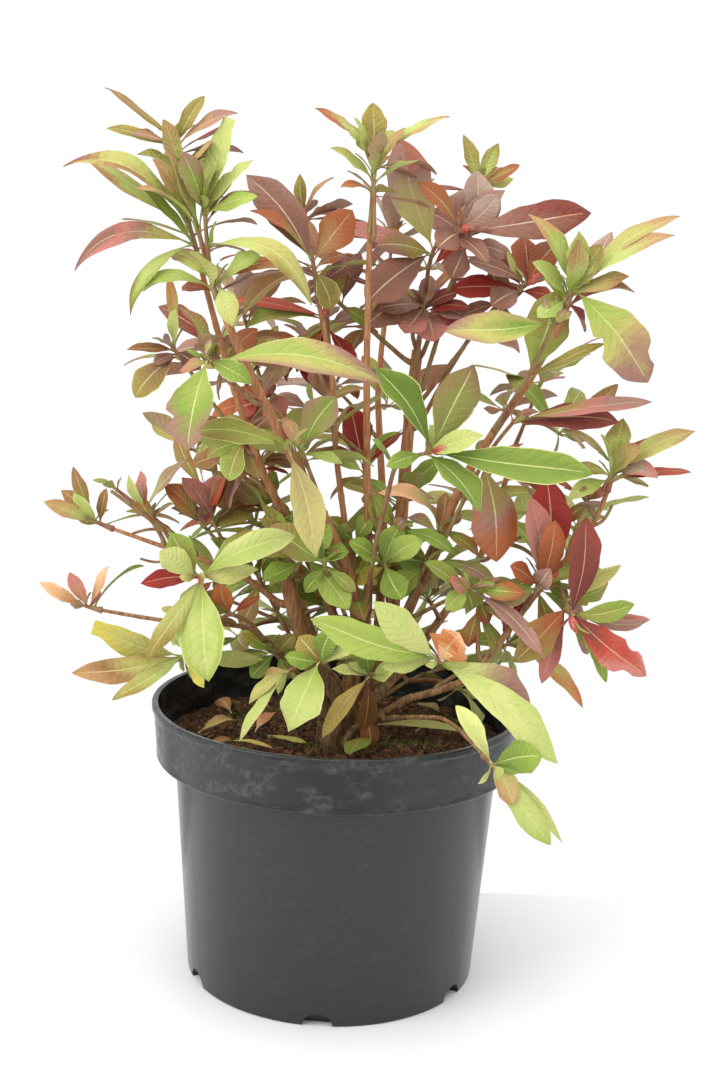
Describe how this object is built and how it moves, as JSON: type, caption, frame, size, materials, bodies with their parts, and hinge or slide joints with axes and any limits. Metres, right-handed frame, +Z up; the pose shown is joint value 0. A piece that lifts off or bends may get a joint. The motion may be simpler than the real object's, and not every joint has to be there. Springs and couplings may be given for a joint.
{
  "type": "potted shrub",
  "caption": "Many-stemmed leafy shrub with green and red autumn leaves in whorls, rooted in peat in a round black nursery pot.",
  "frame": {"origin": "middle of the pot's flat underside", "axes": "+Z up, -Y towards the shrub's front, +X to the right as the front is seen"},
  "size_m": [0.4671, 0.3344, 0.6436],
  "materials": {
    "pot_plastic": "satin black moulded plastic, dusty",
    "peat": "moist fibrous peat",
    "bark": "thin reddish brown bark",
    "lime_leaf": "satin leaf, lime to olive green",
    "bronze_leaf": "satin leaf, olive to bronze",
    "crimson_leaf": "satin leaf, crimson to plum"
  },
  "bodies": {
    "root": {"pot": "pot_plastic", "soil": "peat", "trunk": "bark", "leader": "bark", "upright_stem": "bark", "back_right_stem": "bark", "stub": "bark", "right_stem": "bark", "low_right_branch": "bark", "twin_stem": "bark", "inner_stem": "bark", "low_left_branch": "bark", "upper_left_branch": "bark", "trailing_shoot": "bark", "back_left_stem": "bark", "back_stem": "bark", "far_right_stem": "bark", "leader_crown": "lime_leaf", "twin_crown": "lime_leaf", "left_shoot": "bronze_leaf", "hanging_leaves": "lime_leaf", "arching_leaves": "lime_leaf", "orange_whorl": "bronze_leaf", "inner_red_whorl": "crimson_leaf", "centre_crown": "lime_leaf", "upper_centre": "crimson_leaf", "small_top": "bronze_leaf", "red_whorl": "crimson_leaf", "right_crown": "bronze_leaf", "right_stem_upper": "lime_leaf", "right_stem_lower": "crimson_leaf", "centre_whorl": "lime_leaf", "right_tip_rosette": "lime_leaf", "inner_right_whorl": "crimson_leaf", "lower_right_whorl": "crimson_leaf", "under_right_whorl": "bronze_leaf", "inner_low_whorl": "lime_leaf", "front_right_whorl": "lime_leaf", "low_front_whorl": "lime_leaf", "front_left_whorl": "lime_leaf", "stub_shoots": "lime_leaf", "centre_green": "lime_leaf", "light_green_whorl": "lime_leaf", "bronze_whorl": "bronze_leaf", "khaki_whorl": "bronze_leaf", "left_rosette": "bronze_leaf", "small_left_rosette": "bronze_leaf", "lower_left_whorl": "lime_leaf", "left_inner_leaves": "lime_leaf", "mid_left_leaves": "bronze_leaf", "trailing_tip": "lime_leaf", "back_left_crown": "crimson_leaf", "back_left_side": "bronze_leaf", "back_left_low": "lime_leaf", "back_crown": "crimson_leaf", "back_side": "bronze_leaf", "back_low": "lime_leaf", "far_right_crown": "bronze_leaf", "far_right_side": "bronze_leaf", "far_right_low": "lime_leaf"}
  },
  "joints": []
}
